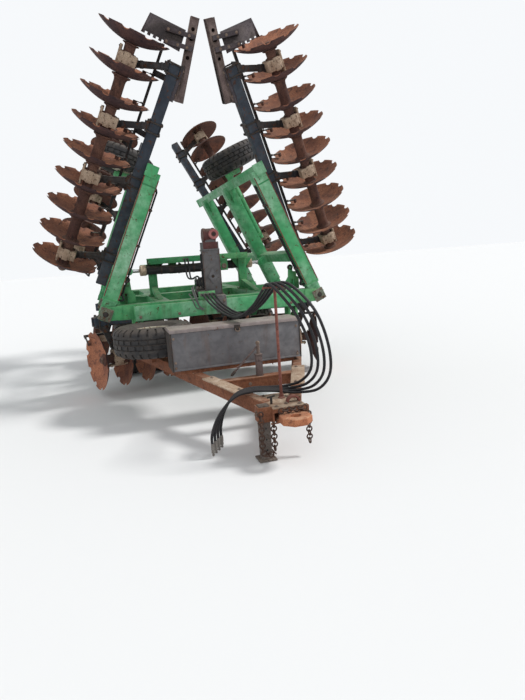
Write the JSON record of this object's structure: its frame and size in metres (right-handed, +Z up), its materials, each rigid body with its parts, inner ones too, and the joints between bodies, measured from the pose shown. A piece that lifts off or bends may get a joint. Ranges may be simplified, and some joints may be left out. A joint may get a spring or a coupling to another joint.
{
  "type": "folding tandem disc harrow",
  "caption": "Towed tandem disc harrow with hinged wings folded up for transport, notched front discs, plain rear discs, transport wheels, tool box, drawbar and parking stand.",
  "frame": {"origin": "centre of the bounding box's footprint, on the ground", "axes": "+Z up, the tongue and hitch eye toward -Y, travel direction -Y, +X to the right when looking from the hitch eye to the frame"},
  "size_m": [3.6584, 6.1983, 3.6659],
  "materials": {
    "green": "faded, chalky green paint",
    "dark": "blue-black paint, dusty",
    "rust": "rusted disc blades",
    "brown": "rust-brown worn paint",
    "grey": "dull grey paint",
    "tyre": "dusty black rubber",
    "rim": "pale worn rim paint",
    "rod": "hard chrome rod",
    "eye": "bare rusty casting",
    "chain": "rusty chain",
    "hose": "dusty black hose",
    "black": "black cylinder paint"
  },
  "bodies": {
    "frame": {"main_frame": "green", "bridge": "green", "tongue": "brown", "hitch_eye": "eye", "mast": "grey", "tool_box": "grey", "spare_tyre": "tyre", "spare_rim": "rim", "parking_stand": "dark", "screw_jack": "brown", "hose_stand": "brown", "chains": "chain", "beam_cfl": "dark", "beam_cfr": "dark", "beam_crl": "dark", "beam_crr": "dark", "rockshaft": "green", "lift_barrel": "black", "lift_rod": "rod", "hose_1": "hose", "hose_2": "hose", "hose_3": "hose", "hose_4": "hose", "plugs": "rim"},
    "wing_l": {"wing_frame_l": "green", "beam_wfl": "dark", "beam_wrl": "dark", "wing_arm_l": "green", "extension_l": "brown"},
    "wing_wheel_l": {"wing_tyre_l": "tyre", "wing_rim_l": "rim"},
    "centre_wheels_l": {"centre_tyres_l": "tyre", "centre_rims_l": "rim"},
    "fold_barrel_l": {"fold_barrel_l": "black"},
    "fold_rod_l": {"fold_rod_l": "rod"},
    "gang_cfl": {"gang_cfl": "rust"},
    "gang_crl": {"gang_crl": "rust"},
    "gang_wfl": {"gang_wfl": "rust"},
    "gang_wrl": {"gang_wrl": "rust"},
    "wing_r": {"wing_frame_r": "green", "beam_wfr": "dark", "beam_wrr": "dark", "wing_arm_r": "green", "extension_r": "brown"},
    "wing_wheel_r": {"wing_tyre_r": "tyre", "wing_rim_r": "rim"},
    "centre_wheels_r": {"centre_tyres_r": "tyre", "centre_rims_r": "rim"},
    "fold_barrel_r": {"fold_barrel_r": "black"},
    "fold_rod_r": {"fold_rod_r": "rod"},
    "gang_cfr": {"gang_cfr": "rust"},
    "gang_crr": {"gang_crr": "rust"},
    "gang_wfr": {"gang_wfr": "rust"},
    "gang_wrr": {"gang_wrr": "rust"}
  },
  "joints": [
    {"name": "wing_fold_l", "type": "hinge", "parent": "frame", "child": "wing_l", "pos_m": [-1.16, -0.655, 0.964], "axis": [0, -1, 0], "range_deg": [0, 114.4]},
    {"name": "fold_barrel_pivot_l", "type": "hinge", "parent": "frame", "child": "fold_barrel_l", "pos_m": [0.3, 0.195, 1.34], "axis": [0, -1, 0], "range_deg": [0, 8.03]},
    {"name": "fold_rod_slide_l", "type": "slide", "parent": "fold_barrel_l", "child": "fold_rod_l", "axis": [-0.9999, 0, 0.0145], "range_m": [0, 0.8266]},
    {"name": "wing_wheel_spin_l", "type": "hinge", "parent": "wing_l", "child": "wing_wheel_l", "pos_m": [-0.71694, 1.095, 2.73956], "axis": [0.4131, 0, 0.9107], "continuous": true},
    {"name": "centre_wheel_spin_l", "type": "hinge", "parent": "frame", "child": "centre_wheels_l", "pos_m": [-0.75, 0.925, 0.385], "axis": [1, 0, 0], "continuous": true},
    {"name": "gang_spin_cfl", "type": "hinge", "parent": "frame", "child": "gang_cfl", "pos_m": [-1.2208, -0.1975, 0.412], "axis": [0.9455, 0.3256, 0], "continuous": true},
    {"name": "gang_spin_crl", "type": "hinge", "parent": "frame", "child": "gang_crl", "pos_m": [-1.3258, 1.9775, 0.412], "axis": [0.9455, -0.3256, 0], "continuous": true},
    {"name": "gang_spin_wfl", "type": "hinge", "parent": "wing_l", "child": "gang_wfl", "pos_m": [-0.65679, -1.015, 3.40955], "axis": [-0.3906, 0.3256, -0.8611], "continuous": true},
    {"name": "gang_spin_wrl", "type": "hinge", "parent": "wing_l", "child": "gang_wrl", "pos_m": [-0.61341, 2.795, 3.50517], "axis": [-0.3906, -0.3256, -0.8611], "continuous": true},
    {"name": "wing_fold_r", "type": "hinge", "parent": "frame", "child": "wing_r", "pos_m": [1.16, -0.655, 0.964], "axis": [0, 1, 0], "range_deg": [0, 114.4]},
    {"name": "fold_barrel_pivot_r", "type": "hinge", "parent": "frame", "child": "fold_barrel_r", "pos_m": [-0.3, 0.385, 1.34], "axis": [0, 1, 0], "range_deg": [0, 8.03]},
    {"name": "fold_rod_slide_r", "type": "slide", "parent": "fold_barrel_r", "child": "fold_rod_r", "axis": [0.9999, 0, 0.0145], "range_m": [0, 0.8266]},
    {"name": "wing_wheel_spin_r", "type": "hinge", "parent": "wing_r", "child": "wing_wheel_r", "pos_m": [0.71694, 1.095, 2.73956], "axis": [-0.4131, 0, 0.9107], "continuous": true},
    {"name": "centre_wheel_spin_r", "type": "hinge", "parent": "frame", "child": "centre_wheels_r", "pos_m": [0.75, 0.925, 0.385], "axis": [1, 0, 0], "continuous": true},
    {"name": "gang_spin_cfr", "type": "hinge", "parent": "frame", "child": "gang_cfr", "pos_m": [1.2208, -0.1975, 0.412], "axis": [-0.9455, 0.3256, 0], "continuous": true},
    {"name": "gang_spin_crr", "type": "hinge", "parent": "frame", "child": "gang_crr", "pos_m": [1.3258, 1.9775, 0.412], "axis": [-0.9455, -0.3256, 0], "continuous": true},
    {"name": "gang_spin_wfr", "type": "hinge", "parent": "wing_r", "child": "gang_wfr", "pos_m": [0.65679, -1.015, 3.40955], "axis": [0.3906, 0.3256, -0.8611], "continuous": true},
    {"name": "gang_spin_wrr", "type": "hinge", "parent": "wing_r", "child": "gang_wrr", "pos_m": [0.61341, 2.795, 3.50517], "axis": [0.3906, -0.3256, -0.8611], "continuous": true}
  ],
  "couplings": [
    {"joint": "fold_barrel_pivot_l", "follows": "wing_fold_l", "ratio": 0.070118},
    {"joint": "fold_rod_slide_l", "follows": "wing_fold_l", "m_per_rad": 0.41376},
    {"joint": "fold_barrel_pivot_r", "follows": "wing_fold_r", "ratio": 0.070118},
    {"joint": "fold_rod_slide_r", "follows": "wing_fold_r", "m_per_rad": 0.41376}
  ]
}
